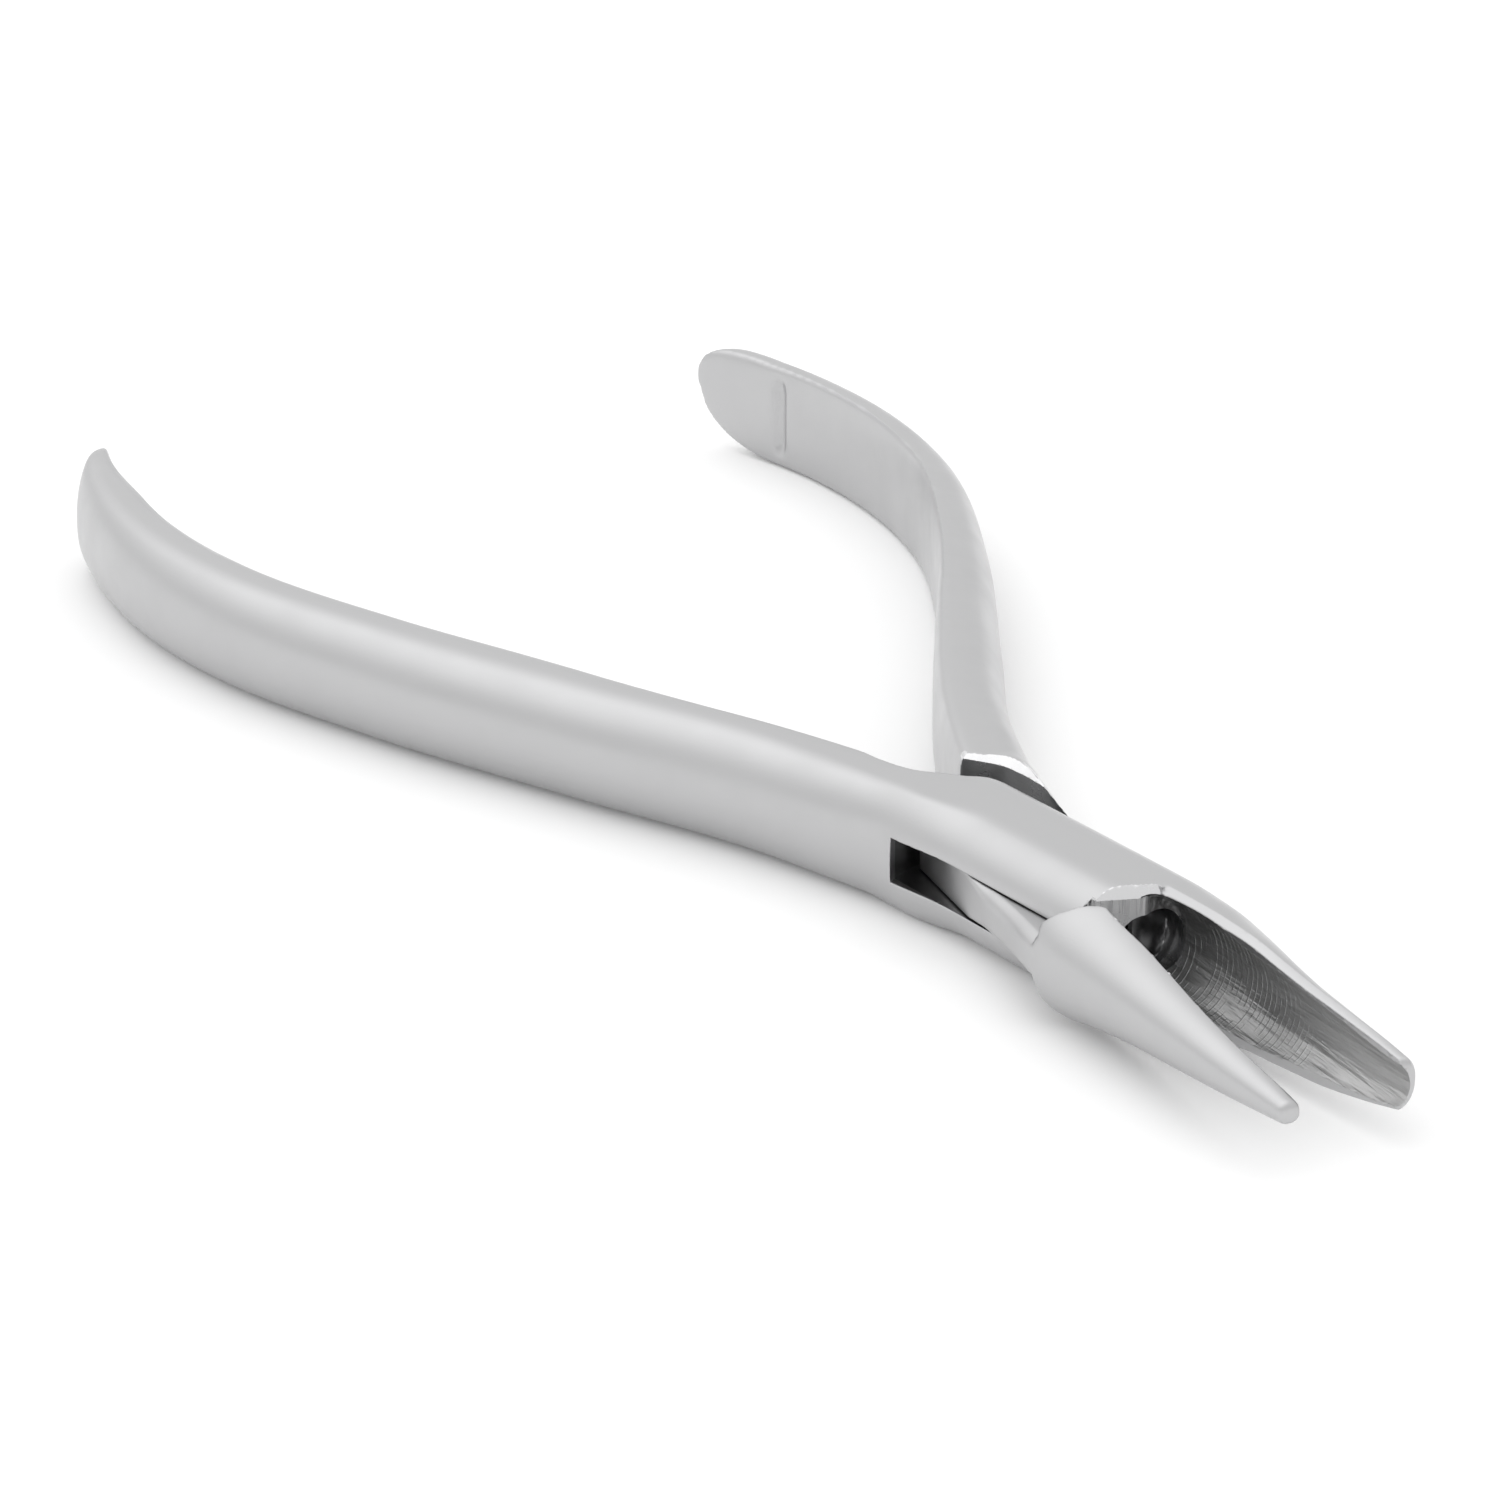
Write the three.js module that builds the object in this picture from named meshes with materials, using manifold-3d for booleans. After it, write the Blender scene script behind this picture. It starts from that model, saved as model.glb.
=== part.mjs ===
// Box-joint crimping pliers: two forged halves that cross at a flush pivot pin.
// Lengths are in millimetres. The pivot axis is Z through the origin, z = 0 is the underside of the joint,
// +X points to the jaw tips and +Y to the right-hand handle's side.
// Each half is built in its own closed position and then turned open about the pivot.
import * as THREE from 'three';
import { mergeVertices } from 'three/addons/utils/BufferGeometryUtils.js';
import Module from 'manifold-3d';

const wasm = await Module();
wasm.setup();

// Driving dimensions.
const thickness = 9;
const middle = thickness / 2;
const boxHalfWidth = 4.6;
const boxCornerRadius = 2.6;
const boxRear = 13;
const boxFront = 11;
const slotThickness = 3.2;
const slotClearance = 0.1;
const webRadius = 9.8;
const webClearance = 0.3;
const plateClearance = 0.25;
const plateFrontReach = 12.4;
const plateRearReach = 10.5;
const pinRadius = 2;
const pinFit = 0.05;
const jawLength = 35.5;
const jawStart = 9;
const jawTipHalfHeight = 1.67;
const jawTipWall = 0.55;
const jawRootWall = 1;
const pocketRadius = 3.4;
const pocketCentre = 15;
const jawRootBulge = 4.9;
const jawTipBulge = 1.9;
const hollowRootDepth = 3.6;
const hollowTipDepth = 1.35;
const coneTipRadius = 0.68;
const coneRootRadius = 4.45;
const coneRootOffset = -0.3;
const coneTipOffset = 1.15;
const handleHalfHeight = 4.5;
const handleOuterRoot = 2.8;
const handleOuterEnd = 1.9;
const handleInnerEnd = 1.2;
const handleInnerSwell = 1.5;
const restHalfAngle = THREE.MathUtils.degToRad(7.2);
const closedAngle = 1.6;
const reach = 120;
const margin = 1;
const handleRings = 34;
const handleSides = 28;
const jawRings = 16;
const jawSides = 32;
const pinHoleExtra = 0.02;
const joiningSweepRadius = 5;

// The handle's middle line, from the joint to the end, for the half whose handle lies on the +Y side.
const handleLine = new THREE.CatmullRomCurve3([
  new THREE.Vector3(-6, 1.9, middle),
  new THREE.Vector3(-23, 5, middle),
  new THREE.Vector3(-38, 10.2, middle),
  new THREE.Vector3(-55, 16.3, middle),
  new THREE.Vector3(-71, 20.3, middle),
  new THREE.Vector3(-86, 20.2, middle),
  new THREE.Vector3(-97, 17.4, middle),
  new THREE.Vector3(-103.5, 14.6, middle),
]);

const steel = new THREE.MeshStandardMaterial({ color: 0xc4c6c8, metalness: 1, roughness: 0.38 });
const pinSteel = new THREE.MeshStandardMaterial({ color: 0xb9bbbd, metalness: 1, roughness: 0.3 });

// A closed three.js geometry as a manifold solid.
function solid(geometry) {
  const bare = new THREE.BufferGeometry();
  bare.setAttribute('position', geometry.getAttribute('position'));
  bare.setIndex(geometry.index);
  const merged = mergeVertices(bare, 1e-4);
  const mesh = new wasm.Mesh({
    numProp: 3,
    vertProperties: merged.getAttribute('position').array,
    triVerts: new Uint32Array(merged.index.array),
  });
  return new wasm.Manifold(mesh);
}

// A manifold solid as a named three.js mesh with its own material.
function namedMesh(name, body, material) {
  const made = body.getMesh();
  const geometry = new THREE.BufferGeometry();
  geometry.setAttribute('position', new THREE.BufferAttribute(new Float32Array(made.vertProperties), 3));
  geometry.setIndex(new THREE.BufferAttribute(new Uint32Array(made.triVerts), 1));
  geometry.computeVertexNormals();
  const mesh = new THREE.Mesh(geometry, material.clone());
  mesh.name = name;
  return mesh;
}

// A prism that stands on a plan outline between two heights.
function prism(outline, bottom, top) {
  const geometry = new THREE.ExtrudeGeometry(outline, {
    depth: top - bottom,
    bevelEnabled: false,
    curveSegments: 16,
  });
  geometry.translate(0, 0, bottom);
  return solid(geometry);
}

// A prism that runs right through the joint from bottom to top.
function throughPrism(outline) {
  return prism(outline, -margin, thickness + margin);
}

// A straight-sided plan outline.
function polygon(...corners) {
  return new THREE.Shape(corners.map(([x, y]) => new THREE.Vector2(x, y)));
}

// A round bar along Z.
function roundBar(radius, bottom, top) {
  const geometry = new THREE.CylinderGeometry(radius, radius, top - bottom, 64);
  geometry.rotateX(Math.PI / 2);
  geometry.translate(0, 0, (top + bottom) / 2);
  return solid(geometry);
}

// A round bar that runs right through the joint.
function throughBar(radius) {
  return roundBar(radius, -margin, thickness + margin);
}

// A value between two limits, eased in and out.
function blend(from, to, share) {
  return THREE.MathUtils.lerp(from, to, THREE.MathUtils.smoothstep(share, 0, 1));
}

// A solid through a row of rounded sections. section(t) gives centre, forward, and for the left and right
// sides a half width and a squareness, where 2 is an ellipse and higher numbers are squarer.
function loft(section, rings, sides) {
  const geometry = new THREE.CylinderGeometry(1, 1, 1, sides, rings);
  const position = geometry.getAttribute('position');
  const point = new THREE.Vector3();
  const up = new THREE.Vector3(0, 0, 1);
  for (let i = 0; i < position.count; i += 1) {
    point.fromBufferAttribute(position, i);
    const { centre, forward, left, right, halfHeight } = section(point.y + 0.5);
    const sideways = new THREE.Vector3().crossVectors(forward, up);
    const rim = Math.hypot(point.x, point.z);
    const cosine = rim > 0 ? point.x / rim : 0;
    const sine = rim > 0 ? point.z / rim : 0;
    const { width, square } = cosine > 0 ? right : left;
    const across = Math.sign(cosine) * Math.abs(cosine) ** (2 / square) * width;
    const height = Math.sign(sine) * Math.abs(sine) ** (2 / square) * halfHeight;
    point.copy(centre).addScaledVector(sideways, across * rim).addScaledVector(up, height * rim);
    position.setXYZ(i, point.x, point.y, point.z);
  }
  return solid(geometry);
}

// A bowed handle: flat-sided inside, rounded outside, with a spade-shaped end that bends inwards.
// side is +1 for the handle on the +Y side and -1 for its mirror image.
function handle(side) {
  const roundedFrom = 0.87;
  const smallestEnd = 0.25;
  const section = (t) => {
    const along = 1 - (1 - t) ** 1.5;
    const centre = handleLine.getPoint(along);
    const forward = handleLine.getTangent(along);
    centre.y *= side;
    forward.y *= side;
    const share = Math.max(0, (along - roundedFrom) / (1 - roundedFrom));
    const round = Math.max(smallestEnd, Math.sqrt(1 - share ** 2.2));
    const innerWidth = handleInnerEnd + handleInnerSwell * (1 - along) ** 2;
    const outer = { width: blend(handleOuterRoot, handleOuterEnd, along) * round, square: 2.6 };
    const inner = { width: innerWidth * round, square: 5 };
    return {
      centre,
      forward,
      left: side > 0 ? inner : outer,
      right: side > 0 ? outer : inner,
      halfHeight: handleHalfHeight * round,
    };
  };
  return loft(section, handleRings, handleSides);
}

// The full-height block of the joint, with rounded long edges.
function jointBlock(front) {
  const radius = boxCornerRadius;
  const width = boxHalfWidth - radius;
  const height = thickness - radius;
  const outline = new THREE.Shape();
  outline.absarc(width, height, radius, 0, Math.PI / 2);
  outline.absarc(-width, height, radius, Math.PI / 2, Math.PI);
  outline.absarc(-width, radius, radius, Math.PI, Math.PI * 1.5);
  outline.absarc(width, radius, radius, Math.PI * 1.5, Math.PI * 2);
  const geometry = new THREE.ExtrudeGeometry(outline, {
    depth: boxRear + front,
    bevelEnabled: false,
    curveSegments: 6,
  });
  const turned = new THREE.Matrix4().makeBasis(
    new THREE.Vector3(0, 1, 0),
    new THREE.Vector3(0, 0, 1),
    new THREE.Vector3(1, 0, 0),
  );
  geometry.applyMatrix4(turned);
  geometry.translate(-boxRear, 0, 0);
  return solid(geometry);
}

// Half height of the hollow jaw at a distance from the pivot.
function jawHalfHeight(x) {
  const share = Math.max(0, (x - boxFront) / (jawLength - boxFront));
  return THREE.MathUtils.lerp(middle, jawTipHalfHeight, share);
}

// A straight row of sections along X, for the jaws and the hollow in one of them.
function alongX(from, to, at) {
  const forward = new THREE.Vector3(1, 0, 0);
  return loft((t) => {
    const x = THREE.MathUtils.lerp(from, to, t);
    const { y, width, halfHeight, square } = at(x);
    const flank = { width, square };
    return { centre: new THREE.Vector3(x, y, middle), forward, left: flank, right: flank, halfHeight };
  }, jawRings, jawSides);
}

// The jaw that is scooped out like a gouge.
function hollowJaw() {
  const outside = alongX(jawStart, jawLength, (x) => {
    const share = (x - boxFront) / (jawLength - boxFront);
    const bulge = blend(jawRootBulge, jawTipBulge, share);
    return { y: 0, width: bulge, halfHeight: jawHalfHeight(x), square: blend(3.2, 2, share) };
  });
  const hollow = alongX(pocketCentre, jawLength + 2, (x) => {
    const share = (x - pocketCentre) / (jawLength - pocketCentre);
    const wall = blend(jawRootWall, jawTipWall, share);
    const depth = blend(hollowRootDepth, hollowTipDepth, share);
    return { y: 0, width: depth, halfHeight: jawHalfHeight(x) - wall, square: 2 };
  });
  const ball = new THREE.SphereGeometry(pocketRadius, 32, 20);
  ball.translate(pocketCentre, 0, middle);
  return { outside, hollow: hollow.add(solid(ball)) };
}

// The slim conical jaw, whose axis leans a little across the closing line.
function coneJaw() {
  return alongX(jawStart - 2, jawLength, (x) => {
    const share = Math.max(0, (x - jawStart) / (jawLength - jawStart));
    const radius = THREE.MathUtils.lerp(coneRootRadius, coneTipRadius, share ** 0.9);
    const y = THREE.MathUtils.lerp(coneRootOffset, coneTipOffset, share ** 2);
    return { y, width: radius, halfHeight: radius, square: blend(2.5, 2, share) };
  });
}

// Plan outline of the two plates of the box, enlarged by an offset on the edges that the other half meets.
function plateOutline(offset) {
  const overWidth = boxHalfWidth + 1;
  const outline = new THREE.Shape();
  outline.moveTo(-plateRearReach - offset, -overWidth);
  outline.lineTo(-plateRearReach - offset, 0);
  outline.splineThru([
    new THREE.Vector2(-9.4 - offset, 1.35),
    new THREE.Vector2(-7.9 - offset, 2.85 + offset),
    new THREE.Vector2(-4.9, 3.55 + offset),
    new THREE.Vector2(-1.5, 4.1 + offset),
    new THREE.Vector2(1.5, 4.7 + offset),
  ]);
  outline.lineTo(plateFrontReach + offset, overWidth);
  outline.lineTo(plateFrontReach + offset, 0.2);
  outline.quadraticCurveTo(10.9 + offset, -2.4, 11.1 + offset, -overWidth);
  return outline;
}

// The half whose box encloses the other: hollow jaw on +Y, handle on -Y.
function boxHalf() {
  const { outside, hollow } = hollowJaw();
  const nearSide = throughPrism(polygon([-reach, -reach], [reach, -reach], [reach, 0], [-reach, 0]));
  const plates = jointBlock(plateFrontReach).intersect(throughPrism(plateOutline(0)));
  const jaw = outside.subtract(nearSide).subtract(hollow);
  const slotReach = 16;
  const slot = new THREE.Shape();
  slot.moveTo(-slotReach, webRadius);
  slot.lineTo(-slotReach, 0);
  slot.absarc(0, 0, webRadius, Math.PI, Math.PI * 1.5);
  slot.lineTo(slotReach, -webRadius);
  slot.lineTo(slotReach, 0);
  slot.absarc(0, 0, webRadius, 0, Math.PI / 2);
  const rearCorner = throughPrism(
    polygon([-slotReach, 0], [-9, 0], [-9, 12], [-slotReach, 12]),
  ).subtract(throughPrism(plateOutline(0)));
  return handle(-1)
    .subtract(rearCorner)
    .add(plates)
    .add(jaw)
    .subtract(prism(slot, middle - slotThickness / 2, middle + slotThickness / 2))
    .subtract(throughBar(pinRadius + pinHoleExtra));
}

// The room that the plates sweep as the pliers open: a round sector in front of the pivot and one behind it.
function sweptPlates() {
  const front = plateFrontReach + plateClearance;
  const rear = plateRearReach + plateClearance;
  const outline = new THREE.Shape();
  outline.moveTo(0, -front);
  outline.absarc(0, 0, front, -Math.PI / 2, Math.PI / 2);
  outline.lineTo(0, plateClearance);
  outline.lineTo(-rear, plateClearance);
  outline.absarc(0, 0, rear, Math.PI, Math.PI * 1.5);
  return outline;
}

// All the room one plate needs over the tongue, from the closed position to wide open.
function plateRoom(bottom, top) {
  const closed = prism(plateOutline(plateClearance), bottom, top);
  return closed
    .rotate([0, 0, closedAngle])
    .add(prism(sweptPlates(), bottom, top))
    .add(roundBar(joiningSweepRadius, bottom, top));
}

// The half whose tongue runs through the box: conical jaw on -Y, handle on +Y.
function tongueHalf() {
  const tongueTop = middle + slotThickness / 2 - slotClearance;
  const tongueBottom = middle - slotThickness / 2 + slotClearance;
  const radius = webRadius - webClearance;
  const flatAtRoot = 0.2;
  const plan = new THREE.Shape();
  plan.moveTo(-reach, reach);
  plan.lineTo(-reach, webClearance);
  plan.absarc(0, 0, radius, Math.PI - webClearance / radius, Math.PI * 1.5);
  plan.lineTo(jawLength + 2, -radius);
  plan.lineTo(jawLength + 2, 2.3);
  plan.splineThru([
    new THREE.Vector2(30, 1),
    new THREE.Vector2(24, 0.5),
    new THREE.Vector2(17, 0.25),
    new THREE.Vector2(radius, flatAtRoot),
  ]);
  plan.absarc(0, 0, radius, flatAtRoot / radius, Math.PI / 2);
  const body = jointBlock(jawStart).add(coneJaw()).add(handle(1)).intersect(throughPrism(plan));
  return body
    .subtract(plateRoom(tongueTop, thickness + margin))
    .subtract(plateRoom(-margin, tongueBottom))
    .subtract(throughBar(pinRadius + pinFit));
}

const pliers = new THREE.Group();

const boxSide = new THREE.Group();
boxSide.rotation.z = restHalfAngle;
boxSide.add(namedMesh('box_half', boxHalf(), steel));
boxSide.add(namedMesh('joint_pin', roundBar(pinRadius, 0, thickness), pinSteel));
pliers.add(boxSide);

const tongueSide = new THREE.Group();
tongueSide.rotation.z = -restHalfAngle;
tongueSide.add(namedMesh('tongue_half', tongueHalf(), steel));
pliers.add(tongueSide);

export default pliers;
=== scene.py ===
"""Plain steel box-joint forming pliers: the looks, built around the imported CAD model.

Each half of the pliers is described as a distance field in its own closed frame, in millimetres, and
meshed by dual contouring, which keeps ground edges crisp and forged blends smooth. In that frame the
pivot is at the origin, the jaws point along +X and Z runs up through the thickness.
"""

import math

import bpy
import numpy as np
from mathutils import Matrix, Vector


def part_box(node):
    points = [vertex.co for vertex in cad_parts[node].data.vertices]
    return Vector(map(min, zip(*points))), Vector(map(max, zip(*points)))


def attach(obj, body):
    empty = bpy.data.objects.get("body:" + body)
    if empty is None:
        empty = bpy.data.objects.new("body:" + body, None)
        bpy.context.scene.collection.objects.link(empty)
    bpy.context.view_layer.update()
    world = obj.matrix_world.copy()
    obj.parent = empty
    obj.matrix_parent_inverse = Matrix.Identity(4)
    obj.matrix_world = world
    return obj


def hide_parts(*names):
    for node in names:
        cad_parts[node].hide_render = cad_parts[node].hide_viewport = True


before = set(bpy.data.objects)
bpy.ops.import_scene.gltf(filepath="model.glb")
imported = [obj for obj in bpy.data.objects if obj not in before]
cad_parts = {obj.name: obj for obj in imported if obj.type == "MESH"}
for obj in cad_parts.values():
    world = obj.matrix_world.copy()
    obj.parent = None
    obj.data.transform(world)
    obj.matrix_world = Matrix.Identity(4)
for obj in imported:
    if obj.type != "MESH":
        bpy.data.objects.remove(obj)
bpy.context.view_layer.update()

MM = 0.001
THICKNESS = (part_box("joint_pin")[1].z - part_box("joint_pin")[0].z) / MM
MIDDLE = THICKNESS / 2
PIN_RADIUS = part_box("joint_pin")[1].x / MM
REST_ANGLE = math.radians(7.2)  # each half is turned this far from the closed pose
BOX_HALF_WIDTH = 4.6
SLOT_HALF = 1.6  # half the height of the slot through the box
TONGUE_HALF = 1.5  # half the height of the tongue inside it
WEB_RADIUS = 9.8  # how far the slot reaches in the two quarters where the plates are joined
TONGUE_RADIUS = 9.5  # the round part of the tongue, which turns inside that
JAW_END = 35.5
PIN_COVER = 0.3  # the plates close over the pin's ground ends by this much
NO_LIMIT = -50.0  # where a cut has this value, only its other limits count


# ---------------------------------------------------------------- shape tools

def soft_min(a, b, k):
    """The smaller of two fields, blended over a width k: a fillet between two solids."""
    h = np.maximum(k - np.abs(a - b), 0) / k
    return np.minimum(a, b) - h * h * k / 4


def soft_max(a, b, k):
    """The larger of two fields, blended over a width k: a rounded edge on a cut."""
    return -soft_min(-a, -b, k)


def ease(low, high, x):
    """0 below low, 1 above high, and a smooth rise between them."""
    t = np.clip((x - low) / (high - low), 0, 1)
    return t * t * (3 - 2 * t)


def smooth_curve(*points):
    """A smooth curve y(x) through a few points, straight beyond its ends."""
    px, py = np.array(points, float).T
    slope = np.gradient(py, px)

    def at(x):
        i = np.clip(np.searchsorted(px, x) - 1, 0, len(px) - 2)
        step = px[i + 1] - px[i]
        t = (x - px[i]) / step
        s = np.clip(t, 0, 1)
        inside = (
            py[i] * (1 + 2 * s) * (1 - s) ** 2
            + py[i + 1] * s * s * (3 - 2 * s)
            + step * slope[i] * s * (1 - s) ** 2
            - step * slope[i + 1] * s * s * (1 - s)
        )
        return inside + step * (np.minimum(t, 0) * slope[0] + np.maximum(t - 1, 0) * slope[-1])

    return at


def chamfered(a, b, leg):
    """Both fields at once, with the edge between them cut off at 45 degrees."""
    return np.maximum(np.maximum(a, b), (a + b + leg) / math.sqrt(2))


def slope_at(curve, x, reach=0.05):
    """The slope of a curve y(x)."""
    return (curve(x + reach) - curve(x - reach)) / (2 * reach)


def across(curve, x, y):
    """How far y lies above a curve y(x), measured square to the curve."""
    slope = slope_at(curve, x)
    return (y - curve(x)) / np.sqrt(1 + slope * slope)


def oval(u, v, wide, tall, square):
    """Distance to a superellipse: square 2 is an ellipse, and higher numbers are squarer."""
    wide, tall = np.maximum(wide, 0.05), np.maximum(tall, 0.05)
    reach = np.hypot(u, v) + 1e-9
    g = ((np.abs(u) / wide) ** square + (np.abs(v) / tall) ** square) ** (1 / square)
    return reach - reach / np.maximum(g, 1e-6)


def rounded_bar(y, z, half_width, low_radius, high_radius):
    """A bar along X with rounded long edges, whose radii on the -Y and +Y sides differ."""
    radius = np.where(y < 0, low_radius, high_radius)
    qy = np.abs(y) - half_width + radius
    qz = np.abs(z - MIDDLE) - MIDDLE + radius
    outside = np.hypot(np.maximum(qy, 0), np.maximum(qz, 0))
    return np.minimum(np.maximum(qy, qz), 0) + outside - radius


# ---------------------------------------------------------------- the handle both halves share

handle_line = smooth_curve(
    (-104, 14.3), (-97, 17.4), (-86, 20.2), (-71, 20.3), (-55, 16.3),
    (-38, 10.2), (-23, 5), (-14, 3.3), (-6, 1.9), (0, 1)
)
outer_width = smooth_curve(
    (-104, 2.35), (-90, 2.6), (-75, 3.0), (-55, 3.3), (-30, 3.5), (-20, 3.2), (-13, 2.7), (-8, 2.5)
)
inner_width = smooth_curve(
    (-104, 0.8), (-97, 1.1), (-75, 1.25), (-55, 1.4), (-38, 1.7), (-23, 2.05), (-14, 2.85), (-8, 2.9)
)
HANDLE_TIP = -104.6
TIP_LENGTH = 8.0  # the stretch over which the spade-shaped end closes
TIP_LIFT = 0.16
BEVEL_FROM = -97.1  # the outside is ground away towards the tip from here
BEVEL_SLOPE = 0.38
CREASE_AT = -94.7
CREASE_DEPTH = 0.5
CREASE_WIDTH = 0.65


def handle(x, y, z, bow, extra):
    """The bowed handle on the +Y side: rounded outside, flatter inside, with a spade-shaped end.

    The two are ground by hand: bow moves one outwards, and extra thickens it on the inside.
    """
    middle = handle_line(x) + bow * ease(-30, -72, x)
    slope = slope_at(handle_line, x)
    lean = np.sqrt(1 + slope * slope)
    u = (y - middle) / lean
    crease = CREASE_DEPTH * np.exp(-(((x - CREASE_AT) / CREASE_WIDTH) ** 2))
    crease = crease * ease(3.9, 2.2, np.abs(z - MIDDLE))
    inner = inner_width(x) - crease + extra * ease(-28, -50, x) * ease(-101, -90, x)
    wide = np.where(u > 0, outer_width(x), inner)
    square = np.where(u > 0, 2.05, 4.0 + 2.5 * ease(-30, -14, x))
    tall = MIDDLE - 0.1 * ease(-30, -8, x)
    bar = oval(u, z - MIDDLE, wide, tall, square)
    end = x + slope * (y - middle) / lean / lean
    past = np.maximum(HANDLE_TIP + TIP_LENGTH - end, 0)
    cap = np.hypot(past * MIDDLE / TIP_LENGTH, z - MIDDLE - TIP_LIFT * past) - MIDDLE
    bevel = (u - 2.3 + BEVEL_SLOPE * (BEVEL_FROM - end)) / math.hypot(1, BEVEL_SLOPE)
    bar = soft_max(bar, bevel, 0.5)
    bar = soft_max(bar, cap, 0.7)
    return soft_max(bar, x + 3, 6.0)  # it fades out inside the box


# ---------------------------------------------------------------- the box half

plate_front = smooth_curve(  # x for each y
    (-5.4, 9.5), (-4.45, 10.1), (-3.8, 10.42), (-3.1, 10.7), (-2.3, 11.05),
    (-1.5, 11.45), (-0.6, 11.95), (0.3, 12.5)
)
plate_rear = smooth_curve(
    (-26, 3), (-20, -0.3), (-16.4, -1.5), (-12.9, -1.0), (-11.4, -0.6), (-10.4, 0.15), (-9.44, 1.33),
    (-8.54, 2.4), (-7.63, 2.98), (-6, 3.4), (-4, 3.85), (-2, 4.3), (0, 4.75), (3, 5.6)
)
hollow_outer = smooth_curve(
    (8, 4.6), (13.5, 4.58), (17.5, 4.35), (22, 3.35), (26.2, 2.6), (31.4, 1.95), (35.5, 1.45)
)
hollow_middle = smooth_curve(
    (8, 4.5), (14, 4.5), (18, 4.65), (21.5, 4.85), (24, 4.68), (27, 4.52), (36, 4.54)
)
hollow_tall = smooth_curve(
    (6, 4.6), (13, 4.58), (17.5, 4.3), (20, 3.95), (22, 3.66), (24, 3.42),
    (26.3, 3.14), (28.6, 2.9), (30.9, 2.57), (33.2, 2.2), (35.5, 1.74)
)
RIM = 0.0  # the plane that the two rims of the hollow jaw lie in
rim_top = smooth_curve(
    (12, 8.45), (14.8, 8.7), (16.8, 8.68), (18.7, 8.45), (20.6, 8.05), (22.5, 7.83),
    (24.5, 7.58), (26.7, 7.22), (29.7, 6.8), (31.9, 6.38), (34, 6.05), (35.5, 5.9)
)
rim_low = smooth_curve(
    (12, 2.5), (17, 2.3), (20.3, 2.1), (23, 2.15), (25.7, 2.4),
    (28.5, 2.58), (31.3, 2.75), (34, 3.05), (35.5, 3.4)
)
wide_depth = smooth_curve((12, 2.6), (17, 2.45), (21, 2.1), (26, 1.6), (31, 1.15), (36, 0.75))
CHANNEL_FROM = 11.75
POCKET = (9.9, 1.0, 4.65)
POCKET_RADIUS = 2.3
LIP = (10.85, 0.7, 4.75)
LIP_RADIUS = 2.45
PLATE_STEP = 0.4  # the milled front under the plate's edge lies this far back
PLATE_CHAMFER = 0.7  # the slope of the chamfer on that edge
PLATE_CHAMFER_LIFT = 3.75


def trough(x, y, z, raise_by, depth_more):
    """The arc-shaped channel along the jaw, as deep as the curves say, with the rim plane as its mouth."""
    a, d = (rim_top(x) - rim_low(x)) / 2, wide_depth(x) + depth_more
    radius = (a * a + d * d) / (2 * d)
    return np.hypot(y - (RIM + d - radius), z - (rim_top(x) + rim_low(x)) / 2 - raise_by) - radius


def ball(x, y, z, centre, radius):
    """Distance to a sphere."""
    return np.sqrt((x - centre[0]) ** 2 + (y - centre[1]) ** 2 + (z - centre[2]) ** 2) - radius


def hollow(x, y, z):
    """Everything scooped out of the hollow jaw: the channel, then a ball-end pocket at its root."""
    cut = np.minimum(trough(x, y, z, 0, 0), trough(x, y, z, -0.3, 0.12))
    cut = soft_max(cut, CHANNEL_FROM - x, 0.5)
    pocket = np.minimum(ball(x, y, z, LIP, LIP_RADIUS), ball(x, y, z, POCKET, POCKET_RADIUS))
    return np.minimum(cut, soft_max(pocket, WEB_RADIUS + 0.4 - np.hypot(x, y), 0.2))


def plate_chamfer(front, lift):
    """The slanting face along the plate's front edge."""
    return (front + PLATE_CHAMFER * (lift - PLATE_CHAMFER_LIFT)) / math.hypot(1, PLATE_CHAMFER)


def box_half(x, y, z):
    """The half with the slotted box and the hollow jaw."""
    lift = np.abs(z - MIDDLE)
    block = soft_max(rounded_bar(y, z, BOX_HALF_WIDTH, 3.4, 3.1), -12 - x, 5.0)
    jaw = oval(y, z - hollow_middle(x), hollow_outer(x), hollow_tall(x), 2.85 - 0.65 * ease(12, 22, x))
    block = block + (jaw - block) * ease(9.5, 15.5, x)
    body = soft_min(handle(x, -y, z, -0.6, 1.0), block, 2.2)
    body = soft_max(body, x - JAW_END, 0.35)
    body = soft_max(body, lift - MIDDLE, 0.25)
    body = soft_max(body, across(plate_rear, x, y), 0.25)
    front = across(plate_front, y, x)
    body = soft_max(body, np.minimum(np.minimum(front, RIM - y), x - 6), 0.05)
    high = ease(4, 6, z)
    shallow = 0.87 * body + 0.5 * (RIM - y) + 0.15 + 0.3 * high
    rimmed = np.maximum(chamfered(body, RIM - y, 0.2 + 0.42 * high), shallow)
    body = np.where(x > 12.5, rimmed, body)
    edge = np.minimum(np.minimum(plate_chamfer(front, lift), 0.45 - y), 3.3 - np.abs(x - 9.3))
    body = soft_max(body, edge, 0.06)
    reach = np.maximum(lift - 3.7, np.abs(x - 9.15) - 3.15)
    step = np.maximum(np.maximum(-(front + PLATE_STEP), y - 0.5), reach)
    body = soft_max(body, -step, 0.1)
    web = np.hypot(x, y) - np.where(x < 0, WEB_RADIUS + 0.3, WEB_RADIUS)
    slot = np.maximum(lift - SLOT_HALF, np.where(x * y > 0, web, NO_LIMIT))
    body = soft_max(body, -slot, 0.08)
    body = soft_max(body, -hollow(x, y, z), 0.05)
    return np.maximum(body, np.minimum(PIN_RADIUS - np.hypot(x, y), MIDDLE - PIN_COVER - lift))


# ---------------------------------------------------------------- the tongue half

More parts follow.
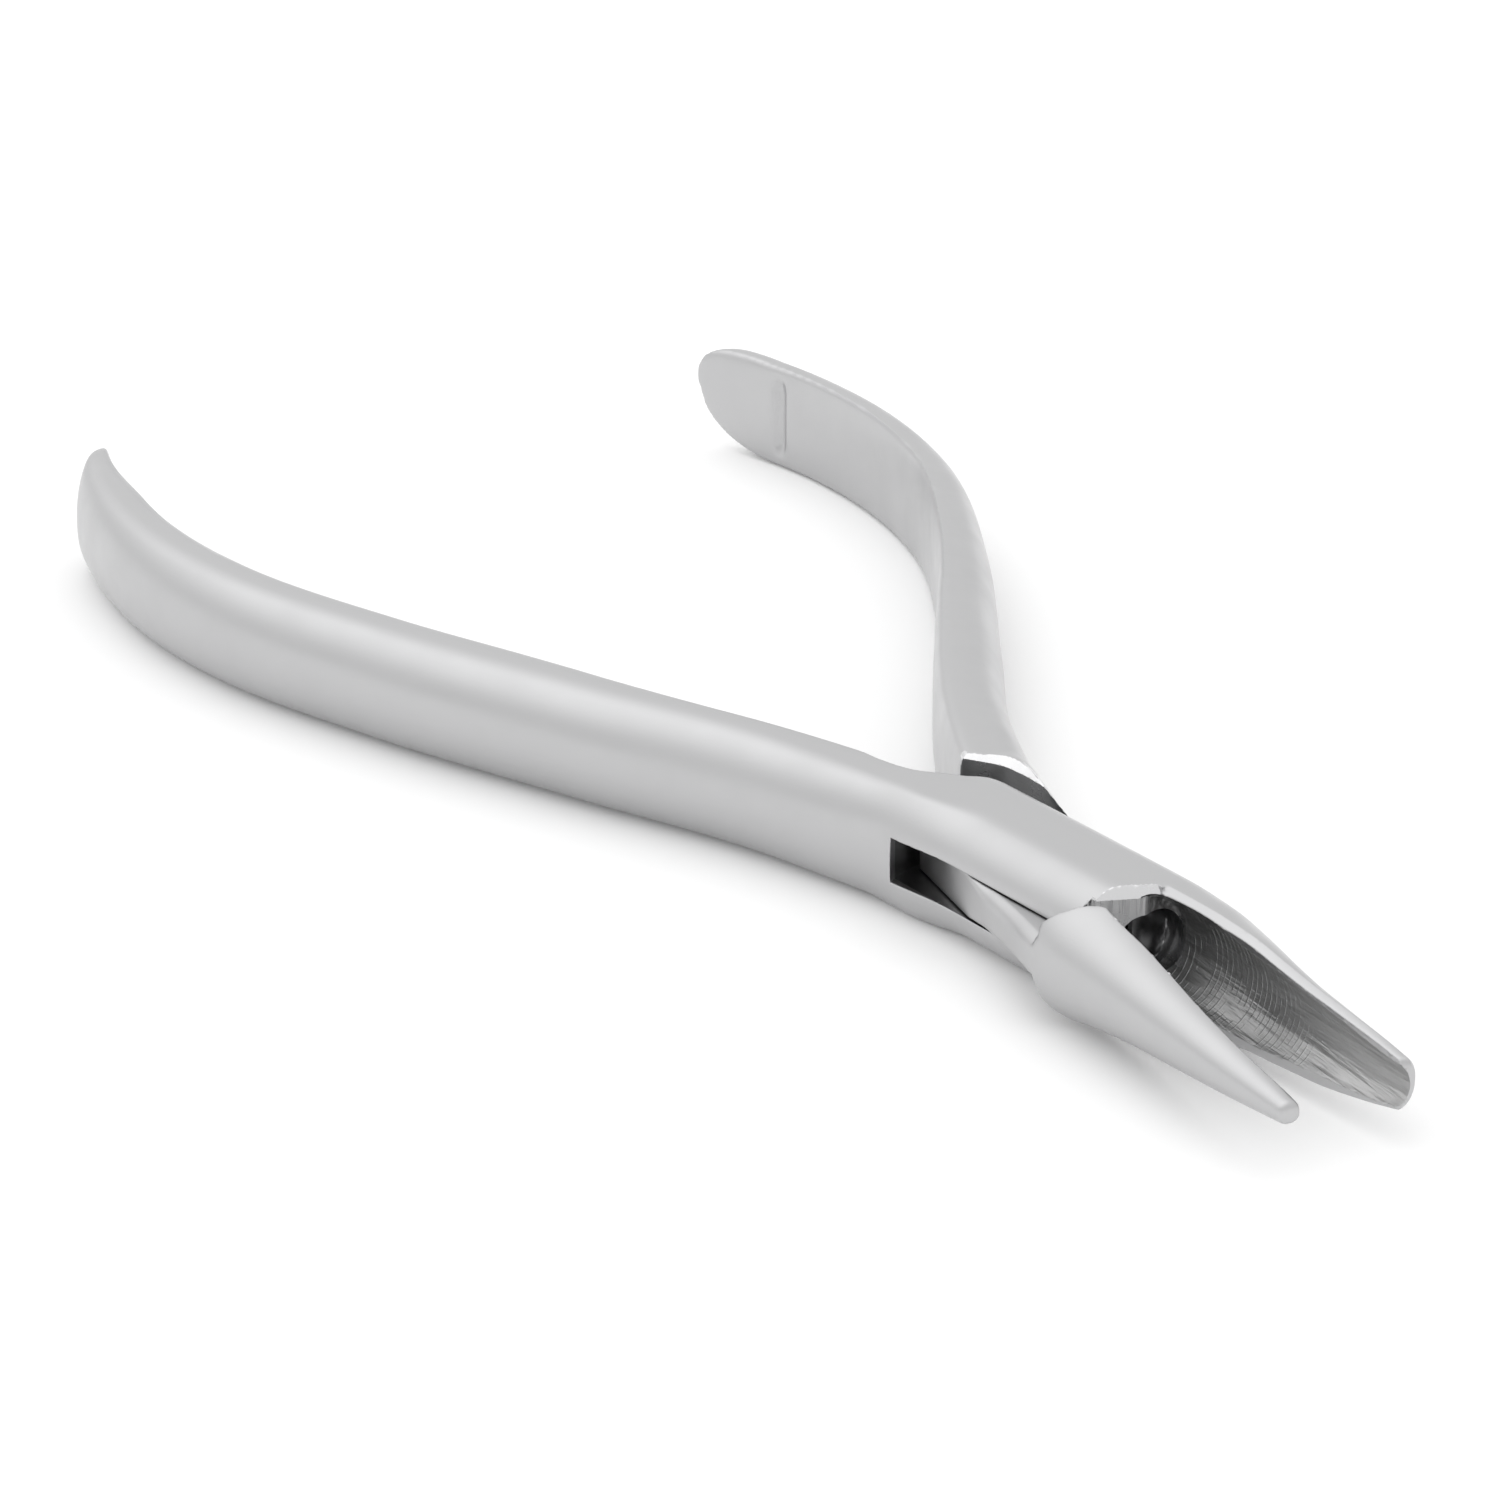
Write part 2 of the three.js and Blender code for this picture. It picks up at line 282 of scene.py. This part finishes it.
shoulder = smooth_curve(
    (-16, -2.0), (-13.6, -0.3), (-12.43, 0.91), (-10.99, 2.27), (-9.25, 2.98),
    (-6.68, 3.53), (-3, 4.2), (0, 4.9), (4, 6)
)
knuckle = smooth_curve(  # x for each y
    (-6, 8.2), (-4.22, 10.0), (-3.6, 10.83), (-2.85, 11.55), (-2.05, 11.95),
    (-1.2, 12.5), (-0.5, 13), (0.6, 13.5)
)
inner_flat = smooth_curve(
    (9.5, -0.8), (13, -0.62), (15, -0.3), (17, 0.05), (20, 0.33), (24, 0.5), (30, 1.0), (37.5, 2.3)
)
cone_radius = smooth_curve(
    (4, 4.1), (7, 4.3), (9, 4.42), (11, 4.42), (12.5, 4.2), (14, 3.82), (16, 3.4), (19, 2.85),
    (24, 2.17), (30, 1.42), (35.5, 0.7)
)
cone_axis = smooth_curve((4, -0.25), (9, -0.3), (15, -0.22), (22, 0.06), (30, 0.62), (35.5, 1.15))
SHOULDER_CHAMFER = 0.6


def tongue_half(x, y, z):
    """The half whose tongue turns in the slot, with the slim conical jaw."""
    lift = np.abs(z - MIDDLE)
    block = soft_max(rounded_bar(y, z, BOX_HALF_WIDTH, 3.4, 3.4), -11 - x, 1.5)
    jaw = oval(y - cone_axis(x), z - MIDDLE, cone_radius(x), np.minimum(cone_radius(x), 4.62), 2.15)
    block = block + (jaw - block) * ease(3, 9.5, x)
    body = soft_min(handle(x, y, z, 0.8, -0.5), block, 1.6)
    body = soft_max(body, x - JAW_END + 0.05, 0.5)
    body = soft_max(body, lift - MIDDLE, 0.25)
    web = np.hypot(x, y) - TONGUE_RADIUS
    flat = np.where(x > 0, np.minimum(across(inner_flat, x, y), web), NO_LIMIT)
    body = np.where(x > 11, chamfered(body, flat, 0.14), soft_max(body, flat, 0.05))
    body = soft_max(body, np.where(x < 0, np.minimum(0.3 - y, web), NO_LIMIT), 0.1)
    wall = across(shoulder, x, y)
    recess = np.maximum(np.maximum(wall, across(knuckle, y, x)), TONGUE_HALF - lift)
    worn = ease(-0.5, 3, x) * ease(-3.1, -4.3, y)
    body = soft_max(body, -recess, 0.12 + worn * (0.25 + 0.65 * ease(2.6, 1.7, lift)))
    slant = (SHOULDER_CHAMFER - wall - MIDDLE + lift) / math.sqrt(2)
    chamfer = np.minimum(np.minimum(slant, wall + 0.3), -4 - x)
    body = soft_max(body, np.where(x > -18, chamfer, NO_LIMIT), 0.05)
    return np.maximum(body, PIN_RADIUS + 0.05 - np.hypot(x, y))


# ---------------------------------------------------------------- dual contouring

HALVINGS = 9  # how often a crossing on a grid edge is halved to find it
SUMS = 13  # 6 products of the normals, 3 of the right-hand side, 3 of the mean point and a count
PULL = 0.03  # draws each vertex a little towards the mean of its crossings


def spread(*stretches):
    """Grid lines from (start, end, step) stretches, each line once."""
    lines = [np.linspace(a, b, max(2, round(abs(b - a) / step) + 1)) for a, b, step in stretches]
    return np.unique(np.round(np.concatenate(lines), 5))


def gradient_at(field, p, h=0.01):
    """Unit gradient of a field at points p."""
    g = np.empty_like(p)
    for axis in range(3):
        step = np.zeros(3)
        step[axis] = h
        a, b = p + step, p - step
        g[:, axis] = field(a[:, 0], a[:, 1], a[:, 2]) - field(b[:, 0], b[:, 1], b[:, 2])
    return g / (np.linalg.norm(g, axis=1, keepdims=True) + 1e-12)


def crossing(field, a, b, value):
    """Where a field changes sign between points a and b. value is what it has at a."""
    for _ in range(HALVINGS):
        mid = (a + b) / 2
        same = (field(mid[:, 0], mid[:, 1], mid[:, 2]) < 0) == (value < 0)
        a = np.where(same[:, None], mid, a)
        b = np.where(same[:, None], b, mid)
    return (a + b) / 2


def cells_around(index, axis, cells):
    """The numbers of the four cells round each grid edge, and which edges have all four."""
    others = [k for k in range(3) if k != axis]
    last = np.array(cells) - 1
    numbers = []
    whole = np.ones(len(index), bool)
    for du, dv in ((-1, -1), (0, -1), (0, 0), (-1, 0)):
        cell = index.copy()
        cell[:, others[0]] += du
        cell[:, others[1]] += dv
        whole &= (cell >= 0).all(1) & (cell <= last).all(1)
        numbers.append(np.ravel_multi_index(tuple(np.clip(cell, 0, last).T), cells))
    return numbers, whole


def settled(sums, used, grid, cells):
    """One vertex in each used cell: the point nearest to all the tangent planes that cross it."""
    t = sums[used]
    count = t[:, 12]
    mean = t[:, 9:12] / count[:, None]
    m = np.empty((len(used), 3, 3))
    m[:, 0, 0], m[:, 0, 1], m[:, 0, 2] = t[:, 0], t[:, 1], t[:, 2]
    m[:, 1, 0], m[:, 1, 1], m[:, 1, 2] = t[:, 1], t[:, 3], t[:, 4]
    m[:, 2, 0], m[:, 2, 1], m[:, 2, 2] = t[:, 2], t[:, 4], t[:, 5]
    pull = PULL * count
    m += pull[:, None, None] * np.eye(3)
    right = t[:, 6:9] + pull[:, None] * mean
    vertices = np.linalg.solve(m, right[:, :, None])[:, :, 0]
    cell = np.stack(np.unravel_index(used, cells), 1)
    low = np.stack([grid[k][cell[:, k]] for k in range(3)], 1)
    high = np.stack([grid[k][cell[:, k] + 1] for k in range(3)], 1)
    return np.clip(vertices, low, high)


def contour(field, xs, ys, zs):
    """Vertices and quads of the surface where a field is zero, with its sharp edges kept."""
    grid = (xs, ys, zs)
    value = field(xs[:, None, None], ys[None, :, None], zs[None, None, :])
    value = np.broadcast_to(value, (len(xs), len(ys), len(zs)))
    inside = value < 0
    cells = tuple(len(g) - 1 for g in grid)
    sums = np.zeros((cells[0] * cells[1] * cells[2], SUMS))
    quads = []
    for axis in range(3):
        low = [slice(None)] * 3
        high = [slice(None)] * 3
        low[axis] = slice(0, -1)
        high[axis] = slice(1, None)
        # Every grid edge that the surface crosses gives a point with a normal, and one quad round it.
        crossed = inside[tuple(low)] != inside[tuple(high)]
        index = np.argwhere(crossed)
        start_value = value[tuple(low)][crossed]
        ends = index.copy()
        ends[:, axis] += 1
        start = np.stack([grid[k][index[:, k]] for k in range(3)], 1)
        end = np.stack([grid[k][ends[:, k]] for k in range(3)], 1)
        point = crossing(field, start, end, start_value)
        n = gradient_at(field, point)
        d = (n * point).sum(1)
        products = [n[:, :1] * n, n[:, 1:2] * n[:, 1:], n[:, 2:3] * n[:, 2:], n * d[:, None]]
        row = np.concatenate(products + [point, np.ones((len(n), 1))], 1)
        numbers, whole = cells_around(index, axis, cells)
        for number in numbers:
            for column in range(SUMS):
                sums[:, column] += np.bincount(number[whole], row[whole, column], len(sums))
        quad = np.stack(numbers, 1)[whole]
        # The quads face outwards. The axes turn the other way round for edges along Y.
        turn = (start_value < 0)[whole] != (axis == 1)
        quad[turn] = quad[turn][:, ::-1]
        quads.append(quad)
    quads = np.concatenate(quads)[:, ::-1]
    used = np.unique(quads)
    return settled(sums, used, grid, cells), np.searchsorted(used, quads)


# Grid lines in millimetres, fine around the joint and along the jaws. The small offsets keep the flat
# faces of the halves off the lines.
X_LINES = spread((-106.4, -88, 0.3), (-88, -16, 0.9), (-16, -12, 0.3), (-12, 14, 0.16), (14, 36, 0.2))
Y_NEAR = spread((-5.6, 5.8, 0.16))
Y_FAR = spread((5.8, 24.8, 0.35))
Y_ENDS = (-6.0, 6.2)  # one more line past each end of Y_NEAR
Z_LINES = spread((-0.31, 9.31, 0.165))
GRID_OFFSET = (0.0131, 0.0073, 0.0057)
SHARP_FROM = math.radians(28)


def half_piece(name, field, far_side, turn, body, node, finish):
    """A half of the pliers as a mesh piece that replaces its CAD node.

    far_side is the side its handle is on, turn takes it from the closed frame to the rest pose, and
    finish picks the material of each face.
    """
    ys = np.unique(np.concatenate([Y_NEAR, far_side * Y_FAR, Y_ENDS]))
    lines = [axis + offset for axis, offset in zip((X_LINES, ys, Z_LINES), GRID_OFFSET)]
    vertices, quads = contour(field, *lines)
    mesh = bpy.data.meshes.new(name)
    mesh.from_pydata((vertices * MM).tolist(), [], quads.tolist())
    mesh.transform(Matrix.Rotation(turn, 4, "Z"))
    mesh.validate()
    mesh.polygons.foreach_set("use_smooth", [True] * len(mesh.polygons))
    mesh.set_sharp_from_angle(angle=SHARP_FROM)
    for material in MATERIALS:
        mesh.materials.append(material)
    corners = vertices[quads]
    facing = np.cross(corners[:, 2] - corners[:, 0], corners[:, 3] - corners[:, 1])
    facing /= np.linalg.norm(facing, axis=1, keepdims=True) + 1e-12
    chosen = finish(*corners.mean(1).T, np.abs(facing[:, 2]))
    if len(mesh.polygons) == len(quads):
        mesh.polygons.foreach_set("material_index", chosen.astype(np.int32))
    piece = bpy.data.objects.new(name, mesh)
    bpy.context.scene.collection.objects.link(piece)
    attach(piece, body)
    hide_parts(node)
    print(name, len(quads), "quads", len(mesh.polygons))


PLAIN, MILLED_IN_SHADE, DEEP_SHADE, SCOOPED, GROUND_HIGHLIGHT, END_MILLED = range(6)


def box_finish(x, y, z, level):
    """Which material each face of the box half has.

    x, y and z are the middle of each face, and level is 1 on a level face and 0 on an upright one.
    """
    lift = np.abs(z - MIDDLE)
    front = across(plate_front, y, x)
    chosen = np.full(len(x), PLAIN)
    in_slot = lift < SLOT_HALF + 0.05
    # Painted shade: the faces inside the slot get the darker milled material.
    chosen[in_slot & (np.hypot(x, y) < 12.5) & (np.abs(y) < 4.5) & (x < 12)] = MILLED_IN_SHADE
    scoop = (np.abs(hollow(x, y, z)) < 0.05) & (y > RIM + 0.02)
    # The hollow's faces get the channel material, whose dark base colour is painted shade.
    chosen[scoop] = SCOOPED
    # Painted shade: the slot faces round the pocket, and the pocket's own faces, get the dark material.
    chosen[(np.hypot(x - 10.2, y - 0.4) < 3) & in_slot & (level < 0.7)] = DEEP_SHADE
    chosen[scoop & (ball(x, y, z, POCKET, POCKET_RADIUS) < 0.06)] = DEEP_SHADE
    ledge = (np.abs(front + PLATE_STEP) < 0.1) & (lift < 3.8) & (lift > 1.5)
    chosen[ledge & (x > 6) & (y < 1.1)] = END_MILLED
    # Painted highlight: the chamfer along the plate's front edge gets the lighter ground material.
    edge = np.abs(plate_chamfer(front, lift)) < 0.05
    chosen[edge & (lift < 4.47) & (x > 8) & (y < 0.5)] = GROUND_HIGHLIGHT
    return chosen


def tongue_finish(x, y, z, level):
    """Which material each face of the tongue half has."""
    lift = np.abs(z - MIDDLE)
    chosen = np.full(len(x), PLAIN)
    inward = across(inner_flat, x, y)
    # Painted highlight: the narrow chamfer along the cone jaw's inner flat gets the lighter ground
    # material.
    chosen[(inward > -0.13) & (inward < -0.01) & (x > 11.5)] = GROUND_HIGHLIGHT
    in_box = (lift < TONGUE_HALF + 0.1) & (np.hypot(x, y) < 12) & (np.abs(y) < 4.45)
    # Painted shade: the tongue inside the box gets the darker milled material.
    chosen[in_box & ((x < 0) | (y > -1.5))] = MILLED_IN_SHADE
    away = across(shoulder, x, y)
    # Painted shade: the shoulder wall below its chamfer gets the darker milled material.
    chosen[(np.abs(away) < 0.12) & (lift > TONGUE_HALF) & (x < 5) & (level < 0.45)] = MILLED_IN_SHADE
    # Painted highlight: the chamfer along the top of the shoulder wall gets the lighter ground material.
    edge = (away > 0.02) & (away < 0.8) & (lift > 3.6) & (lift < 4.48)
    chosen[edge & (x < -4) & (level > 0.4) & (level < 0.92)] = GROUND_HIGHLIGHT
    # Painted shade: the knuckle wall in front of the tongue's recess gets the dark material.
    shaded_knuckle_wall = (np.abs(across(knuckle, y, x)) < 0.1) & (lift > TONGUE_HALF) & (lift < 3.2)
    chosen[shaded_knuckle_wall & (y > -3.5) & (level < 0.3)] = DEEP_SHADE
    return chosen


# ---------------------------------------------------------------- materials

class Nodes:
    """A short way of writing one material's node tree."""

    def __init__(self, name):
        self.material = bpy.data.materials.new(name)
        self.material.use_nodes = True
        self.tree = self.material.node_tree
        self.shader = self.tree.nodes["Principled BSDF"]
        self.place = self.add("ShaderNodeTexCoord").outputs["Object"]

    def add(self, kind, **settings):
        node = self.tree.nodes.new(kind)
        for key, value in settings.items():
            setattr(node, key, value)
        return node

    def link(self, source, target):
        self.tree.links.new(source, target)

    def noise(self, scale, stretch=(1, 1, 1), detail=3.0):
        mapping = self.add("ShaderNodeMapping")
        self.link(self.place, mapping.inputs["Vector"])
        mapping.inputs["Scale"].default_value = stretch
        texture = self.add("ShaderNodeTexNoise")
        self.link(mapping.outputs["Vector"], texture.inputs["Vector"])
        texture.inputs["Scale"].default_value = scale
        texture.inputs["Detail"].default_value = detail
        return texture.outputs["Fac"]

    def ranged(self, value, low, high, out_low, out_high):
        node = self.add("ShaderNodeMapRange")
        self.link(value, node.inputs["Value"])
        node.inputs["From Min"].default_value = low
        node.inputs["From Max"].default_value = high
        node.inputs["To Min"].default_value = out_low
        node.inputs["To Max"].default_value = out_high
        return node.outputs["Result"]

    def math(self, operation, a, b):
        node = self.add("ShaderNodeMath", operation=operation)
        for socket, value in zip(node.inputs, (a, b)):
            if isinstance(value, (int, float)):
                socket.default_value = value
            else:
                self.link(value, socket)
        return node.outputs[0]

    def rings(self, centre, pitch, wander):
        """Ripples round a point, one every pitch metres, pushed about by the value wander."""
        offset = self.add("ShaderNodeVectorMath", operation="DISTANCE")
        self.link(self.place, offset.inputs[0])
        offset.inputs[1].default_value = centre
        turns = self.math("MULTIPLY", offset.outputs["Value"], 2 * math.pi / pitch)
        return self.math("SINE", self.math("ADD", turns, wander), 0)

    def bump(self, height, depth, strength=1.0, rounding=0.0):
        node = self.add("ShaderNodeBump")
        if rounding:
            edge = self.add("ShaderNodeBevel", samples=4)
            edge.inputs["Radius"].default_value = rounding
            self.link(edge.outputs["Normal"], node.inputs["Normal"])
        self.link(height, node.inputs["Height"])
        node.inputs["Distance"].default_value = depth
        node.inputs["Strength"].default_value = strength
        self.link(node.outputs["Normal"], self.shader.inputs["Normal"])


def metal(name, grey, roughness, spread_of_roughness=0.05):
    """A plain metal whose roughness drifts a little from place to place."""
    nodes = Nodes(name)
    nodes.shader.inputs["Base Color"].default_value = (grey, grey, grey * 1.01, 1)
    nodes.shader.inputs["Metallic"].default_value = 1
    drift = nodes.noise(260, detail=4.0)
    low, high = roughness - spread_of_roughness, roughness + spread_of_roughness
    nodes.link(nodes.ranged(drift, 0.3, 0.7, low, high), nodes.shader.inputs["Roughness"])
    return nodes


def satin_steel():
    """The fine satin of every outside face, with its edges softened a little."""
    nodes = metal("satin_steel", 0.51, 0.33)
    nodes.bump(nodes.noise(7000, detail=2.0), 0.000014, 0.5, 0.00014)
    return nodes.material


def milled_steel_in_shade():
    """The slot and the tongue inside the joint: real milled streaks, and a dark base colour that is
    painted shade.
    """
    nodes = metal("milled_steel_in_shade", 0.28, 0.3)
    nodes.bump(nodes.noise(900, (1, 1, 8)), 0.00003, 0.5)
    return nodes.material


def deep_shade_steel():
    """Painted shade: a dark base colour on the faces deep inside the bore, the pocket and the front of the
    tongue's recess, where shade falls.
    """
    nodes = metal("bore_painted_shade", 0.3, 0.25)
    nodes.bump(nodes.noise(500), 0.00002, 0.5)
    return nodes.material


def channel_steel():
    """The scooped floor of the hollow jaw: cutter arcs near its root, streaks towards its tip, and a base
    colour darkened as painted shade in the hollow, most towards the root.
    """
    nodes = metal("scooped_steel_shaded", 0.5, 0.4)
    arc_centre = Matrix.Rotation(REST_ANGLE, 3, "Z") @ Vector((8 * MM, 0, 4 * MM))
    parts = nodes.add("ShaderNodeSeparateXYZ")
    nodes.link(nodes.place, parts.inputs[0])
    along = parts.outputs["X"]
    # Painted shade: the base colour is darkest near the jaw's root and lighter towards its tip.
    shade = nodes.ranged(along, 0.012, 0.03, 0.32, 0.46)
    colour = nodes.add("ShaderNodeCombineColor")
    for channel in ("Red", "Green", "Blue"):
        nodes.link(shade, colour.inputs[channel])
    nodes.link(colour.outputs["Color"], nodes.shader.inputs["Base Color"])
    rings = nodes.rings(arc_centre, 0.5 * MM, nodes.math("MULTIPLY", nodes.noise(300), 3.0))
    crests = nodes.ranged(rings, 0.7, 1.0, 0.0, 1.0)
    patches = nodes.ranged(nodes.noise(520), 0.42, 0.6, 0, 1)
    ridge = nodes.math("MULTIPLY", crests, patches)
    ridge = nodes.math("MULTIPLY", ridge, nodes.ranged(along, 0.018, 0.03, 1.0, 0.0))
    streaks = nodes.noise(700, (0.2, 2.4, 2.4), 8.0)
    nodes.bump(nodes.math("ADD", nodes.math("MULTIPLY", ridge, 0.35), streaks), 0.0002, 1.0)
    return nodes.material


def ground_highlight_steel():
    """The freshly ground chamfers, with a lighter base colour that is a painted highlight where they catch
    the light.
    """
    nodes = metal("ground_edge_highlight", 0.68, 0.28)
    nodes.bump(nodes.noise(1500), 0.00003, 0.5)
    return nodes.material


def front_steel():
    """The milled step under the plate's front edge."""
    nodes = metal("end_milled_steel", 0.42, 0.25)
    nodes.bump(nodes.noise(2500, (1, 1, 0.05), 2.0), 0.00006, 0.8)
    return nodes.material


MATERIALS = (satin_steel(), milled_steel_in_shade(), deep_shade_steel(), channel_steel(), ground_highlight_steel(), front_steel())
half_piece("box_half_forging", box_half, -1, REST_ANGLE, "box_side", "box_half", box_finish)
half_piece("tongue_half_forging", tongue_half, 1, -REST_ANGLE, "tongue_side", "tongue_half", tongue_finish)


def pin_piece():
    """The pivot pin, its ends ground off and closed over by the plates."""
    sides = 96
    reach = PIN_RADIUS * MM
    heights = [PIN_COVER * MM, (THICKNESS - PIN_COVER) * MM]
    angles = [2 * math.pi * i / sides for i in range(sides)]
    vertices = [(reach * math.cos(turn), reach * math.sin(turn), z) for z in heights for turn in angles]
    faces = [tuple(reversed(range(sides))), tuple(range(sides, 2 * sides))]
    faces += [(i, (i + 1) % sides, sides + (i + 1) % sides, sides + i) for i in range(sides)]
    mesh = bpy.data.meshes.new("pivot_pin_ground")
    mesh.from_pydata(vertices, [], faces)
    mesh.materials.append(MATERIALS[PLAIN])
    piece = bpy.data.objects.new("pivot_pin_ground", mesh)
    bpy.context.scene.collection.objects.link(piece)
    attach(piece, "box_side")
    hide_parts("joint_pin")


pin_piece()


# ---------------------------------------------------------------- studio

WORLD_GLOWS = (  # toward, the dot products where it starts and ends, and how much it adds
    ((0, 0, 1), -1.2, -1.1, 0.94),
    ((-0.356, -0.305, 0.884), 0.5, 1.08, 0.64),
    ((-0.5, 0.5, 0.7), 0.2, 1.0, 0.03),
)


def floor_plane():
    """A wide sheet of white paper."""
    mesh = bpy.data.meshes.new("floor")
    side = 3.0
    corners = [(-side, -side, 0), (side, -side, 0), (side, side, 0), (-side, side, 0)]
    mesh.from_pydata(corners, [], [(0, 1, 2, 3)])
    floor = bpy.data.objects.new("floor", mesh)
    bpy.context.scene.collection.objects.link(floor)
    material = bpy.data.materials.new("floor_paper")
    material.use_nodes = True
    shader = material.node_tree.nodes["Principled BSDF"]
    shader.inputs["Base Color"].default_value = (0.95, 0.95, 0.95, 1)
    shader.inputs["Roughness"].default_value = 0.9
    shader.inputs["Emission Color"].default_value = (1, 1, 1, 1)
    shader.inputs["Emission Strength"].default_value = 0.05
    mesh.materials.append(material)


def world_light():
    """An even white tent, brighter high up on the viewer's left and a touch brighter behind the tool."""
    world = bpy.data.worlds.new("studio")
    bpy.context.scene.world = world
    world.use_nodes = True
    tree = world.node_tree
    direction = tree.nodes.new("ShaderNodeTexCoord").outputs["Generated"]
    total = None
    for toward, low, high, amount in WORLD_GLOWS:
        dot = tree.nodes.new("ShaderNodeVectorMath")
        dot.operation = "DOT_PRODUCT"
        tree.links.new(direction, dot.inputs[0])
        dot.inputs[1].default_value = Vector(toward).normalized()
        glow = tree.nodes.new("ShaderNodeMapRange")
        glow.interpolation_type = "SMOOTHSTEP"
        tree.links.new(dot.outputs["Value"], glow.inputs["Value"])
        glow.inputs["From Min"].default_value = low
        glow.inputs["From Max"].default_value = high
        glow.inputs["To Min"].default_value = 0
        glow.inputs["To Max"].default_value = amount
        if total is None:
            total = glow.outputs["Result"]
        else:
            add = tree.nodes.new("ShaderNodeMath")
            tree.links.new(total, add.inputs[0])
            tree.links.new(glow.outputs["Result"], add.inputs[1])
            total = add.outputs[0]
    tree.links.new(total, tree.nodes["Background"].inputs["Strength"])
    tree.nodes["Background"].inputs["Color"].default_value = (1, 1, 1, 1)


floor_plane()
world_light()
camera_data = bpy.data.cameras.new("camera")
camera_data.lens = 115.35
camera_data.sensor_width = 36
camera = bpy.data.objects.new("camera", camera_data)
camera.location = (0.24511, -0.14926, 0.13378)
camera.rotation_euler = (math.radians(67.327), 0, math.radians(62.355))
bpy.context.scene.collection.objects.link(camera)
bpy.context.scene.camera = camera
bpy.context.scene.view_settings.view_transform = "Standard"
